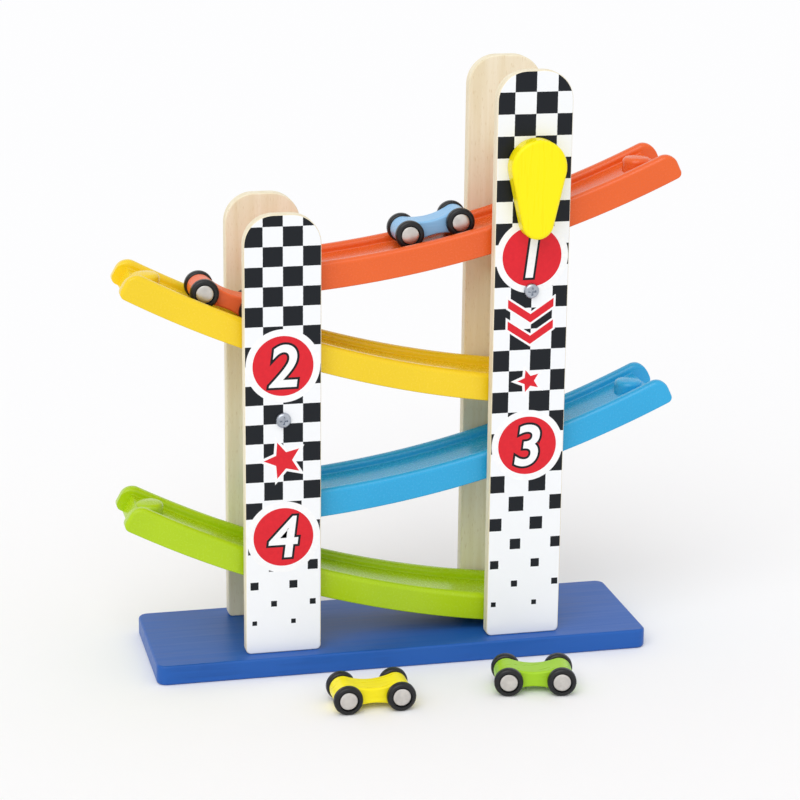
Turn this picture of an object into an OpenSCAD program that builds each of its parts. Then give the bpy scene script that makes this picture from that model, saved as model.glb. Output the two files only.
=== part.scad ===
// Click clack track toy: a tower of four posts carries four curved tracks that zigzag
// down, small cars roll from one track to the next, and a swinging lever starts them.
// Frame: X to the right, Y away from the printed side, Z up, origin under the base's middle.

/* [Base] */
// Length of the base board
base_l = 300; // [260:1:360]
// Depth of the base board, front to back
base_w = 90; // [86:1:130]
// Thickness of the base board
base_h = 12; // [10:0.5:14]
// Corner radius of the base board in plan
base_r = 6; // [1:0.5:12]

/* [Posts] */
// Width of a post
post_w = 45; // [40:0.5:56]
// Thickness of a post
post_t = 8; // [7:0.5:9]
// Distance of each pair of posts from the middle
post_x = 73.5; // [68:0.5:80]
// Clear gap between a front post and its back post
post_gap = 56; // [52:0.5:60]
// Height of the left pair of posts
short_h = 264; // [258:1:290]
// Height of the right pair of posts
tall_h = 342; // [335:1:370]
// Corner radius at the top of a post
post_top_r = 17.5; // [8:0.5:19]
// Corner radius at the foot of a post
post_foot_r = 3; // [1:0.5:5]

/* [Tracks] */
// Radius of the curve along a track's underside
track_r = 635; // [580:5:700]
// Outer width of a track
track_w = 48; // [46:0.5:50]
// Outer height of a track
track_h = 16.5; // [15.5:0.25:17.5]
// Thickness of a track's side rails
rail_t = 7; // [6:0.25:8]
// Radius of the rounding along the top of a rail
rail_r = 3; // [1:0.25:3]
// Depth of the running channel below the rails
channel_d = 5; // [4.5:0.25:6]
// Thickness of the channel's floor plate
floor_t = 2.5; // [2:0.25:3.5]
// Thickness of the skin left when a rail is cored from below
rail_skin = 2; // [1.5:0.25:2.5]
// Thickness of the rib under the middle of a track
rib_t = 3; // [2:0.25:4]
// Distance of the orange and blue tracks' high tips from the middle
tip_right = 165.5; // [163:0.5:172]
// Distance of the yellow and green tracks' high tips from the middle
tip_left = 162; // [160:0.5:170]
// Distance of a track's low end from the middle
low_x = 80; // [78:0.5:84]
// Upper corner radius at a track's end
end_top_r = 8; // [3:0.5:9]
// Lower corner radius at a track's end
end_low_r = 4; // [2:0.5:5]
// Thickness of the wall that closes a track's end from below
end_wall = 5; // [4:0.25:7]
// Height of the orange track's underside at its low post
orange_z = 226.3; // [224:0.1:230]
// Height of the yellow track's underside at its low post
yellow_z = 153.8; // [151:0.1:156]
// Height of the blue track's underside at its low post
blue_z = 88.9; // [86:0.1:92]
// Height of the green track's underside at its low post
green_z = 15.3; // [15:0.1:18]
// Climb of the orange and blue tracks from post to post
rise_right = 25; // [22:0.25:28]
// Climb of the yellow and green tracks from post to post
rise_left = 33.8; // [31:0.2:36]
// Diameter of the pegs that hold a track in the posts
peg_d = 6; // [5:0.25:7]
// Depth of a peg in its post
peg_l = 5; // [4:0.25:5.5]
// Diameter of the shoulder behind a peg
shoulder_d = 10; // [8.5:0.25:12]

/* [Stop nub] */
// Diameter of the stop nub near a track's high end
nub_d = 17; // [12:0.5:20]
// Distance of the nub from the middle
nub_x = 149; // [144:0.5:151]
// Height of the nub above the channel's floor
nub_h = 5; // [4.5:0.25:7]
// Rounding of the nub's top edge
nub_r = 3; // [1:0.25:4]

/* [Spacers and screws] */
// Diameter of the wooden spacer between the posts of a pair
spacer_d = 12; // [10:0.5:13]
// Height of the spacer between the short posts
spacer_short_z = 155.5; // [150:0.5:162]
// Height of the spacer between the tall posts
spacer_tall_z = 225.6; // [218:0.2:232]
// Head diameter of the screws that hold the spacers
tie_head_d = 9; // [7.5:0.25:10]
// Head height of the screws that hold the spacers
tie_head_h = 2.6; // [2:0.1:3.2]
// Shank diameter of every wood screw
screw_d = 3.5; // [3:0.1:4]
// Length of a spacer screw under its head
tie_l = 24; // [18:1:28]
// Head diameter of the screws under the base
foot_head_d = 7; // [6:0.25:8]
// Length of the screws under the base
foot_l = 30; // [24:1:34]
// Distance of the two base screws from a post's middle
foot_x = 12; // [8:0.5:15]

/* [Start lever] */
// Height of the lever's pivot above the ground
pivot_z = 299.5; // [297:0.5:303]
// Radius of the lever's wide end
lever_r = 16.5; // [13:0.5:18]
// Radius of the lever's narrow end
lever_tip_r = 9.5; // [7:0.5:11]
// Distance from the pivot to the middle of the narrow end
lever_l = 32; // [26:0.5:36]
// Thickness of the lever
lever_t = 12; // [10:0.5:14]
// Diameter of the lever's shaft
shaft_d = 8; // [6:0.25:9]
// Depth of the shaft in the lever
shaft_in = 9; // [6:0.5:9]
// Depth of the shaft in the back post
shaft_back = 5; // [3:0.25:5.5]
// Length of the gate along the shaft
gate_l = 24; // [16:0.5:28]
// Diameter of the gate's hub
gate_hub_d = 14; // [12:0.5:15]
// Reach of the gate below the pivot
gate_reach = 31.5; // [28:0.25:32]
// Thickness of the gate's paddle
gate_t = 5; // [4:0.25:6]

/* [Cars] */
// Diameter of a wheel
wheel_d = 17; // [15:0.25:18]
// Width of a wheel
wheel_w = 5.2; // [4.5:0.1:5.5]
// Rounding of a wheel's tread edges
wheel_r = 1.8; // [0.5:0.1:2]
// Distance between a car's axles
wheelbase = 31; // [28:0.5:33]
// Width of a car's body
car_w = 16.6; // [14:0.2:18]
// Radius of a body's round ends
lobe_r = 7.3; // [6.4:0.1:7.4]
// Height of a body's waist
waist_h = 9; // [7:0.25:10.5]
// Diameter of a wheel pin
pin_d = 2.5; // [2:0.1:3]
// Diameter of a wheel pin's head
pin_head_d = 10.4; // [8:0.2:11]
// Thickness of a wheel pin's head
pin_head_t = 1; // [0.8:0.1:1.2]
// Depth of a wheel pin in the body
pin_in = 7; // [5:0.25:7]
// Width of the wall left around the recess in a wheel
hub_wall = 2.6; // [1.6:0.1:3]
// Depth of the recess in a wheel
hub_depth = 1.4; // [1:0.1:1.8]
// Place of the blue car on the orange track, from the middle
blue_car_x = 21.5; // [15:0.5:24]
// Place of the orange car on the yellow track, from the middle
orange_car_x = -100.5; // [-104:0.5:-97]
// Place of the yellow car on the ground, from the middle
yellow_car_x = -34; // [-60:0.5:-20]
// Distance of the yellow car from the base's middle line
yellow_car_y = -96; // [-120:0.5:-90]
// Heading of the yellow car
yellow_car_turn = -0.6; // [-4:0.1:4]
// Place of the green car on the ground, from the middle
green_car_x = 64.5; // [55:0.5:90]
// Distance of the green car from the base's middle line
green_car_y = -91.5; // [-115:0.5:-88]
// Heading of the green car
green_car_turn = -10.8; // [-12:0.1:-4]

/* [Clearances] */
// Radial clearance of pegs, screws and glued dowels
fit = 0.1; // [0.05:0.01:0.2]
// Radial clearance of a turning shaft or wheel
run_fit = 0.1; // [0.05:0.01:0.15]
// Side play of a wheel and of the lever
side_play = 0.4; // [0.3:0.05:0.6]
// Gap between a car's wheels and the channel's floor
ride_gap = 0.3; // [0.1:0.05:0.5]

/* [Hidden] */
$fn = 96;
tiny = 0.01;

// Faces of the posts
post_in = post_gap / 2;
post_out = post_in + post_t;
post_mid = post_in + post_t / 2;
// Levels of the track's section, above its underside
floor_top = track_h - channel_d;
floor_low = floor_top - floor_t;
channel_w = track_w - 2 * rail_t;
peg_level = track_h / 2;
// Radius that a car's wheel middles follow on a track
ride_r = track_r - floor_top - ride_gap - wheel_d / 2;
// Width across a car's wheels
axle_y = car_w / 2 + side_play;
head_y = axle_y + wheel_w - hub_depth + side_play / 2;

// Middle of a track's curve, as [x, z], for a track that is high at the right
function arc_mid(low_z, rise) =
    let (a = norm([post_x, rise / 2]), h = sqrt(track_r * track_r - a * a))
    [-rise / 2 / a * h, low_z + rise / 2 + post_x / a * h];
// Angle from straight down, at a curve's middle, of the point at distance x on radius r
function arc_turn(mid, x, r) = asin((x - mid[0]) / r);
// Height of the point at distance x on radius r
function arc_z(mid, x, r) = mid[1] - sqrt(r * r - (x - mid[0]) * (x - mid[0]));

// Lies a profile drawn in X and Z across Y, from y0 to y1
module across(y0, y1) {
    translate([0, y1, 0]) rotate([90, 0, 0]) linear_extrude(y1 - y0) children();
}

// A straight round bar along Y
module bar(d, x, z, y0, y1) {
    translate([x, y0, z]) rotate([-90, 0, 0]) cylinder(d = d, h = y1 - y0);
}

// A rectangle with round corners in plan
module round_plan(l, w, r) {
    union() {
        square([l - 2 * r, w], center = true);
        square([l, w - 2 * r], center = true);
        for (sx = [-1, 1], sy = [-1, 1]) translate([sx * (l / 2 - r), sy * (w / 2 - r)]) circle(r);
    }
}

// Outline of a post, standing on Z = 0
module post_outline(h) {
    t = min(post_top_r, post_w / 2 - 1);
    f = post_foot_r;
    union() {
        translate([-post_w / 2, f]) square([post_w, h - t - f]);
        translate([-post_w / 2 + f, 0]) square([post_w - 2 * f, f + 1]);
        translate([-post_w / 2 + t, h - t - 1]) square([post_w - 2 * t, t + 1]);
        for (s = [-1, 1]) {
            translate([s * (post_w / 2 - f), f]) circle(f);
            translate([s * (post_w / 2 - t), h - t]) circle(t);
        }
    }
}

// Places of the holes for track pegs on one pair of posts, as heights
function peg_heights(side) = [
    for (t = [[orange_z, rise_right, 1], [yellow_z, rise_left, -1],
              [blue_z, rise_right, 1], [green_z, rise_left, -1]])
        arc_z(arc_mid(t[0], t[1]), side * t[2] * post_x, track_r - peg_level)
];

// One post: side is -1 for the left pair and 1 for the right, face is -1 for front, 1 for back
module post(side, face, h) {
    tie_z = side < 0 ? spacer_short_z : spacer_tall_z;
    inner = face < 0 ? -post_in - peg_l - fit : post_in - tiny;
    difference() {
        translate([side * post_x, 0, base_h])
            across(face < 0 ? -post_out : post_in, face < 0 ? -post_in : post_out) post_outline(h);
        for (z = peg_heights(side))
            bar(peg_d + 2 * fit, side * post_x, z, inner, inner + peg_l + fit + tiny);
        bar(screw_d + 2 * fit, side * post_x, tie_z, face < 0 ? -post_out - 1 : post_in - 1,
            face < 0 ? -post_in + 1 : post_out + 1);
        for (s = [-1, 1]) translate([side * post_x + s * foot_x, face * post_mid, base_h - 1])
            cylinder(d = screw_d + 2 * fit, h = foot_l - base_h + 2);
        if (side > 0 && face < 0)
            bar(shaft_d + 2 * run_fit, post_x, pivot_z, -post_out - 1, -post_in + 1);
        if (side > 0 && face > 0)
            bar(shaft_d + 2 * run_fit, post_x, pivot_z, post_in - 1, post_in + shaft_back + side_play);
    }
}

module base_board() {
    color("#2c66b4") difference() {
        linear_extrude(base_h) round_plan(base_l, base_w, base_r);
        for (px = [-post_x, post_x], s = [-1, 1], face = [-1, 1])
            translate([px + s * foot_x, face * post_mid, 0]) {
                translate([0, 0, -1]) cylinder(d = screw_d + 2 * fit, h = base_h + 2);
                foot_head(fit);
                translate([0, 0, -1]) cylinder(d = foot_head_d + 2 * fit, h = 1 + tiny);
            }
    }
}

module post_short_front() { color("#f2efe6") post(-1, -1, short_h); }
module post_short_back() { color("#e6d8b0") post(-1, 1, short_h); }
module post_tall_front() { color("#f2efe6") post(1, -1, tall_h); }
module post_tall_back() { color("#e6d8b0") post(1, 1, tall_h); }

// Section of a track's outer form, as distance from the curve's middle (X) and place across (Y)
module track_section() {
    difference() {
        union() {
            translate([track_r - track_h + rail_r, -track_w / 2]) square([track_h - rail_r, track_w]);
            for (s = [-1, 1]) {
                translate([track_r - track_h + rail_r, s * (track_w / 2 - rail_r)]) circle(rail_r);
                translate([track_r - track_h + rail_r, s * (channel_w / 2 + rail_r)]) circle(rail_r);
                translate([track_r - track_h, s * (track_w / 2 - rail_t / 2) - rail_t / 2 + rail_r])
                    square([rail_r + tiny, rail_t - 2 * rail_r]);
            }
        }
        translate([track_r - track_h - 1, -channel_w / 2]) square([channel_d + 1, channel_w]);
    }
}

// Section of the hollows under a track: two beside the rib and a slot in each rail
module track_hollows() {
    for (s = [-1, 1]) {
        translate([track_r - floor_low, s > 0 ? rib_t / 2 : -channel_w / 2])
            square([floor_low + 1, (channel_w - rib_t) / 2]);
        translate([track_r - track_h + rail_skin + rail_r,
                s * (track_w / 2 - rail_t / 2) - rail_t / 2 + rail_skin])
            square([track_h, rail_t - 2 * rail_skin]);
    }
}

// Turns a track's section about the curve's middle from one angle to another
module sweep(mid, lo, hi) {
    translate([mid[0], 0, mid[1]]) rotate([90, 0, 0]) rotate([0, 0, lo - 90])
        rotate_extrude(angle = hi - lo, $fn = 720) children();
}

// Side outline that trims a track's two ends, in X and Z, with round corners
module track_ends(mid, tip) {
    hi = arc_turn(mid, tip, track_r - track_h / 2);
    lo = arc_turn(mid, -low_x, track_r - track_h / 2);
    top = track_r - track_h;
    ht = hi - end_top_r / (top + end_top_r) * 180 / PI;
    hl = hi - end_low_r / (track_r - end_low_r) * 180 / PI;
    lt = lo + end_low_r / (top + end_low_r) * 180 / PI;
    ll = lo + end_low_r / (track_r - end_low_r) * 180 / PI;
    function at(t, r) = [mid[0] + r * sin(t), mid[1] - r * cos(t)];
    union() {
        polygon([at(lt, top - 2), at(lt, top + end_low_r), at(lo, top + end_low_r),
            at(lo, track_r - end_low_r), at(ll, track_r - end_low_r), at(ll, track_r + 2),
            at((ll + hl) / 2, track_r + 40), at(hl, track_r + 2),
            at(hl, track_r - end_low_r), at(hi, track_r - end_low_r), at(hi, top + end_top_r),
            at(ht, top + end_top_r), at(ht, top - 2)]);
        translate(at(ht, top + end_top_r)) circle(end_top_r);
        translate(at(hl, track_r - end_low_r)) circle(end_low_r);
        translate(at(lt, top + end_low_r)) circle(end_low_r);
        translate(at(ll, track_r - end_low_r)) circle(end_low_r);
    }
}

// One track, high at the right, with its stop nub, shoulders and pegs
module track_right(low_z, rise, tip) {
    mid = arc_mid(low_z, rise);
    lo = arc_turn(mid, -low_x, track_r - track_h / 2);
    hi = arc_turn(mid, tip, track_r - track_h / 2);
    wall = end_wall / track_r * 180 / PI;
    nub_z = arc_z(mid, nub_x, track_r - floor_top);
    drop = nub_d / 2 * tan(arc_turn(mid, nub_x, track_r)) + floor_t / 2;
    union() {
        difference() {
            intersection() {
                sweep(mid, lo - 1, hi + 1) track_section();
                across(-track_w / 2 - 1, track_w / 2 + 1) track_ends(mid, tip);
            }
            sweep(mid, lo + wall, hi - wall) track_hollows();
        }
        translate([nub_x, 0, nub_z - drop]) rotate_extrude() nub_profile(drop + nub_h);
        for (s = [-1, 1], f = [-1, 1]) {
            z = arc_z(mid, s * post_x, track_r - peg_level);
            bar(shoulder_d, s * post_x, z, f < 0 ? -post_in : track_w / 2 - 1, f < 0 ? -track_w / 2 + 1 : post_in);
            bar(peg_d, s * post_x, z, f < 0 ? -post_in - peg_l : track_w / 2 - 1,
                f < 0 ? -track_w / 2 + 1 : post_in + peg_l);
        }
    }
}

// Half outline of the stop nub, with a round top edge
module nub_profile(h) {
    r = min(nub_r, nub_d / 2 - 1, h / 2);
    union() {
        square([nub_d / 2, h - r]);
        square([nub_d / 2 - r, h]);
        intersection() {
            translate([nub_d / 2 - r, h - r]) circle(r);
            square([nub_d / 2, h]);
        }
    }
}

module track_orange() { color("#ee7240") track_right(orange_z, rise_right, tip_right); }
module track_yellow() { color("#f3d63c") mirror([1, 0, 0]) track_right(yellow_z, rise_left, tip_left); }
module track_blue() { color("#44ace0") track_right(blue_z, rise_right, tip_right); }
module track_green() { color("#afd620") mirror([1, 0, 0]) track_right(green_z, rise_left, tip_left); }

// Wooden spacer between two posts, drilled at both ends for its screws
module spacer(side, z) {
    reach = tie_l - post_t + 1;
    difference() {
        bar(spacer_d, side * post_x, z, -post_in, post_in);
        bar(screw_d + 2 * fit, side * post_x, z, -post_in - 1, -post_in + reach);
        bar(screw_d + 2 * fit, side * post_x, z, post_in - reach, post_in + 1);
    }
}

module spacer_short() { color("#dcc9a0") spacer(-1, spacer_short_z); }
module spacer_tall() { color("#dcc9a0") spacer(1, spacer_tall_z); }

// Pan head screw along Y with its head's underside at the origin and its shank toward +Y
module tie_screw() {
    r = tie_head_h * 0.7;
    slot = tie_head_d * 0.14;
    difference() {
        union() {
            rotate([-90, 0, 0]) cylinder(d = screw_d, h = tie_l);
            rotate([90, 0, 0]) rotate_extrude() union() {
                square([tie_head_d / 2, tie_head_h - r]);
                square([tie_head_d / 2 - r, tie_head_h]);
                intersection() {
                    translate([tie_head_d / 2 - r, tie_head_h - r]) circle(r);
                    square([tie_head_d / 2, tie_head_h]);
                }
            }
        }
        for (t = [0, 90]) rotate([0, t, 0])
            translate([-tie_head_d * 0.27, -tie_head_h - 1, -slot / 2])
                cube([tie_head_d * 0.54, 1 + tie_head_h * 0.6, slot]);
    }
}

// The two spacer screws of one side
module tie_screws(face) {
    for (p = [[-post_x, spacer_short_z], [post_x, spacer_tall_z]])
        translate([p[0], face * post_out, p[1]]) rotate([0, 0, face < 0 ? 0 : 180]) tie_screw();
}

module tie_screws_front() { color("#b9bcc0") tie_screws(-1); }
module tie_screws_back() { color("#b9bcc0") tie_screws(1); }

// Sunk head of a base screw, with its flat face level with the underside
module foot_head(gap) {
    h = (foot_head_d - screw_d) / 2;
    cylinder(d1 = foot_head_d + 2 * gap, d2 = screw_d + 2 * gap, h = h);
}

module base_screws() {
    color("#b9bcc0") for (px = [-post_x, post_x], s = [-1, 1], face = [-1, 1])
        translate([px + s * foot_x, face * post_mid, 0]) difference() {
            union() {
                foot_head(0);
                cylinder(d = screw_d, h = foot_l);
            }
            for (t = [0, 90]) rotate([0, 0, t]) translate([-2, -0.5, -1]) cube([4, 1, 2]);
        }
}

// Teardrop outline of the lever, in X and Z about its pivot
module lever_outline() {
    k = asin((lever_r - lever_tip_r) / lever_l);
    union() {
        circle(lever_r);
        translate([0, -lever_l]) circle(lever_tip_r);
        polygon([
            [lever_r * cos(k), -lever_r * sin(k)],
            [-lever_r * cos(k), -lever_r * sin(k)],
            [-lever_tip_r * cos(k), -lever_l - lever_tip_r * sin(k)],
            [lever_tip_r * cos(k), -lever_l - lever_tip_r * sin(k)]]);
    }
}

lever_back = -post_out - side_play;

module start_lever() {
    color("#f7e600") difference() {
        translate([post_x, 0, pivot_z]) across(lever_back - lever_t, lever_back) lever_outline();
        bar(shaft_d + 2 * fit, post_x, pivot_z, lever_back - shaft_in, lever_back + 1);
    }
}

module lever_shaft() {
    color("#dcc9a0") bar(shaft_d, post_x, pivot_z, lever_back - shaft_in, post_in + shaft_back);
}

module start_gate() {
    color("#dcc9a0") difference() {
        union() {
            bar(gate_hub_d, post_x, pivot_z, -gate_l / 2, gate_l / 2);
            translate([post_x - gate_t / 2, -gate_l / 2, pivot_z - gate_reach + gate_t / 2])
                cube([gate_t, gate_l, gate_reach - gate_t / 2]);
            bar(gate_t, post_x, pivot_z - gate_reach + gate_t / 2, -gate_l / 2, gate_l / 2);
        }
        bar(shaft_d + 2 * fit, post_x, pivot_z, -gate_l, gate_l);
    }
}

// Side outline of a car's body about the middle between its axles
module car_outline() {
    w = waist_h / 2;
    a = wheelbase / 2;
    rc = (a * a + w * w - lobe_r * lobe_r) / (2 * (lobe_r - w));
    k = lobe_r / (lobe_r + rc);
    tx = a - a * k;
    tz = (w + rc) * k;
    union() {
        for (s = [-1, 1]) translate([s * a, 0]) circle(lobe_r);
        difference() {
            polygon([[-tx, -tz], [tx, -tz], [a, 0], [tx, tz], [-tx, tz], [-a, 0]]);
            for (s = [-1, 1]) translate([0, s * (w + rc)]) circle(rc);
        }
    }
}

module car_body() {
    difference() {
        across(-car_w / 2, car_w / 2) car_outline();
        for (s = [-1, 1]) {
            bar(pin_d + 2 * fit, s * wheelbase / 2, 0, -car_w / 2 - 1, -car_w / 2 + pin_in + fit);
            bar(pin_d + 2 * fit, s * wheelbase / 2, 0, car_w / 2 - pin_in - fit, car_w / 2 + 1);
        }
    }
}

// The four pins of a car, each with a flat head
module car_pins() {
    for (s = [-1, 1], f = [0, 180]) translate([s * wheelbase / 2, 0, 0]) rotate([0, 0, f]) {
        union() {
            bar(pin_d, 0, 0, -head_y, -car_w / 2 + pin_in);
            bar(pin_head_d, 0, 0, -head_y - pin_head_t, -head_y);
        }
    }
}

// Half section of a wheel: distance from its axle (X) and place across it (Y), outer face up
module wheel_profile() {
    b = pin_d / 2 + run_fit;
    h = wheel_d / 2 - hub_wall;
    difference() {
        union() {
            translate([b, 0]) square([wheel_d / 2 - wheel_r - b, wheel_w]);
            translate([b, wheel_r]) square([wheel_d / 2 - b, wheel_w - 2 * wheel_r]);
            for (y = [wheel_r, wheel_w - wheel_r]) translate([wheel_d / 2 - wheel_r, y]) circle(wheel_r);
        }
        translate([0, wheel_w - hub_depth]) square([h, hub_depth + 1]);
    }
}

// One wheel: s is -1 for the left axle and 1 for the right, f is -1 for front and 1 for back
module car_wheel(s, f) {
    translate([s * wheelbase / 2, f * axle_y, 0]) rotate([-f * 90, 0, 0]) rotate_extrude() wheel_profile();
}

// Puts a car on a track, high at the right, with the middle of its axles over x
module on_track(low_z, rise, x) {
    mid = arc_mid(low_z, rise);
    r = sqrt(ride_r * ride_r - wheelbase * wheelbase / 4);
    translate([mid[0], 0, mid[1]]) rotate([0, -arc_turn(mid, x, r), 0]) translate([0, 0, -r]) children();
}

// Puts a car on the ground
module on_ground(x, y, turn) {
    translate([x, y, wheel_d / 2]) rotate([0, 0, turn]) children();
}

module on_orange_track() { on_track(orange_z, rise_right, blue_car_x) children(); }
module on_yellow_track() { mirror([1, 0, 0]) on_track(yellow_z, rise_left, -orange_car_x) mirror([1, 0, 0]) children(); }
module yellow_spot() { on_ground(yellow_car_x, yellow_car_y, yellow_car_turn) children(); }
module green_spot() { on_ground(green_car_x, green_car_y, green_car_turn) children(); }

module blue_car_body() { color("#2f86d0") on_orange_track() car_body(); }
module blue_car_pins() { color("#c9c9c6") on_orange_track() car_pins(); }
module blue_car_wheel_lf() { color("#1d1f23") on_orange_track() car_wheel(-1, -1); }
module blue_car_wheel_rf() { color("#1d1f23") on_orange_track() car_wheel(1, -1); }
module blue_car_wheel_lb() { color("#1d1f23") on_orange_track() car_wheel(-1, 1); }
module blue_car_wheel_rb() { color("#1d1f23") on_orange_track() car_wheel(1, 1); }

module orange_car_body() { color("#ef6a3a") on_yellow_track() car_body(); }
module orange_car_pins() { color("#c9c9c6") on_yellow_track() car_pins(); }
module orange_car_wheel_lf() { color("#1d1f23") on_yellow_track() car_wheel(-1, -1); }
module orange_car_wheel_rf() { color("#1d1f23") on_yellow_track() car_wheel(1, -1); }
module orange_car_wheel_lb() { color("#1d1f23") on_yellow_track() car_wheel(-1, 1); }
module orange_car_wheel_rb() { color("#1d1f23") on_yellow_track() car_wheel(1, 1); }

module yellow_car_body() { color("#fbee0f") yellow_spot() car_body(); }
module yellow_car_pins() { color("#c9c9c6") yellow_spot() car_pins(); }
module yellow_car_wheel_lf() { color("#1d1f23") yellow_spot() car_wheel(-1, -1); }
module yellow_car_wheel_rf() { color("#1d1f23") yellow_spot() car_wheel(1, -1); }
module yellow_car_wheel_lb() { color("#1d1f23") yellow_spot() car_wheel(-1, 1); }
module yellow_car_wheel_rb() { color("#1d1f23") yellow_spot() car_wheel(1, 1); }

module green_car_body() { color("#9fd21c") green_spot() car_body(); }
module green_car_pins() { color("#c9c9c6") green_spot() car_pins(); }
module green_car_wheel_lf() { color("#1d1f23") green_spot() car_wheel(-1, -1); }
module green_car_wheel_rf() { color("#1d1f23") green_spot() car_wheel(1, -1); }
module green_car_wheel_lb() { color("#1d1f23") green_spot() car_wheel(-1, 1); }
module green_car_wheel_rb() { color("#1d1f23") green_spot() car_wheel(1, 1); }

base_board();
post_short_front();
post_short_back();
post_tall_front();
post_tall_back();
track_orange();
track_yellow();
track_blue();
track_green();
spacer_short();
spacer_tall();
tie_screws_front();
tie_screws_back();
base_screws();
start_lever();
lever_shaft();
start_gate();
blue_car_body();
blue_car_pins();
blue_car_wheel_lf();
blue_car_wheel_rf();
blue_car_wheel_lb();
blue_car_wheel_rb();
orange_car_body();
orange_car_pins();
orange_car_wheel_lf();
orange_car_wheel_rf();
orange_car_wheel_lb();
orange_car_wheel_rb();
yellow_car_body();
yellow_car_pins();
yellow_car_wheel_lf();
yellow_car_wheel_rf();
yellow_car_wheel_lb();
yellow_car_wheel_rb();
green_car_body();
green_car_pins();
green_car_wheel_lf();
green_car_wheel_rf();
green_car_wheel_lb();
green_car_wheel_rb();
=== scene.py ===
"""Looks of a click clack track toy: posts with a checkered print, curved plastic tracks and small cars."""

import logging
import math
from dataclasses import dataclass, field
from enum import Enum
from typing import Iterable, Optional, Sequence

import bmesh
import bpy
from mathutils import Matrix, Vector


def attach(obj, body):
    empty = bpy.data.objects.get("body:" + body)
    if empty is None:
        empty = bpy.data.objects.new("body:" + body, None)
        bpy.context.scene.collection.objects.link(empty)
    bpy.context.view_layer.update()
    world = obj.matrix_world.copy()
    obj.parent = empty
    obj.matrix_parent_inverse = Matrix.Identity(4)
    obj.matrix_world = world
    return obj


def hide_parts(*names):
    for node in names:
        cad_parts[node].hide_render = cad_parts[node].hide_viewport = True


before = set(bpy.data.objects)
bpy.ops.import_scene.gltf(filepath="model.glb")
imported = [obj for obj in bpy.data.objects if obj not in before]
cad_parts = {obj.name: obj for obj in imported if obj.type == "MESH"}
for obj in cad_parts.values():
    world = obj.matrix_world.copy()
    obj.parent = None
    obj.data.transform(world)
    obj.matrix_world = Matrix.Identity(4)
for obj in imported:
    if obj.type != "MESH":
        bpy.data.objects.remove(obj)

MM = 0.001
log = logging.getLogger("track_toy")

WHEEL = 17.0
WHEELBASE = 31.0
POST_X = 73.5
POST_INNER = 28.0
PRINT_FILM = 0.06
WELD = 1e-6
FINE_WELD = 1e-7
SEAM_WELD = 2e-5
UPRIGHT = Matrix.Rotation(math.pi / 2, 4, "X")


class Side(Enum):
    """The end of the toy at which a track or a pair of posts stands high."""

    LEFT = -1
    RIGHT = 1


class Rank(Enum):
    """The row of posts: the printed front row or the plain back row."""

    FRONT = -1
    BACK = 1


class Cut(Enum):
    """The sections of a track along its length."""

    SOLID = "closed from below"
    HOLLOW = "hollow from below"
    RAILS = "rails alone"


class Ink(Enum):
    """Print colours on the front posts, in the order of a print's material slots."""

    WHITE = 0
    RED = 1
    BLACK = 2


def linear(hex_colour: str) -> tuple[float, float, float, float]:
    """Turns an sRGB hex colour into linear values.

    Args:
        hex_colour: colour such as "#a0b0c0".

    Returns:
        Red, green, blue and an alpha of one.
    """
    digits = hex_colour.lstrip("#")
    parts = [int(digits[i:i + 2], 16) / 255 for i in (0, 2, 4)]
    lin = [p / 12.92 if p <= 0.04045 else ((p + 0.055) / 1.055) ** 2.4 for p in parts]
    return (lin[0], lin[1], lin[2], 1.0)


def add_node(tree: bpy.types.NodeTree, kind: str, links: Optional[dict] = None, **settings) -> bpy.types.Node:
    """Adds a node with its settings, its input values and its links.

    Args:
        tree: node tree that the node goes into.
        kind: Blender's name of the node type.
        links: input name or number to a value, or to an output socket.
        settings: attributes of the node itself.

    Returns:
        The new node.
    """
    node = tree.nodes.new(kind)
    for name, value in settings.items():
        setattr(node, name, value)
    for name, value in (links or {}).items():
        if isinstance(value, bpy.types.NodeSocket):
            tree.links.new(value, node.inputs[name])
        else:
            node.inputs[name].default_value = value
    return node


def fresh_material(name: str) -> tuple[bpy.types.Material, bpy.types.NodeTree, bpy.types.Node]:
    """Makes an empty node material with one Principled shader.

    Args:
        name: name of the material.

    Returns:
        The material, its node tree and its shader node.
    """
    material = bpy.data.materials.new(name)
    material.use_nodes = True
    tree = material.node_tree
    tree.nodes.clear()
    shader = add_node(tree, "ShaderNodeBsdfPrincipled")
    out = add_node(tree, "ShaderNodeOutputMaterial")
    tree.links.new(shader.outputs["BSDF"], out.inputs["Surface"])
    return material, tree, shader


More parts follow.
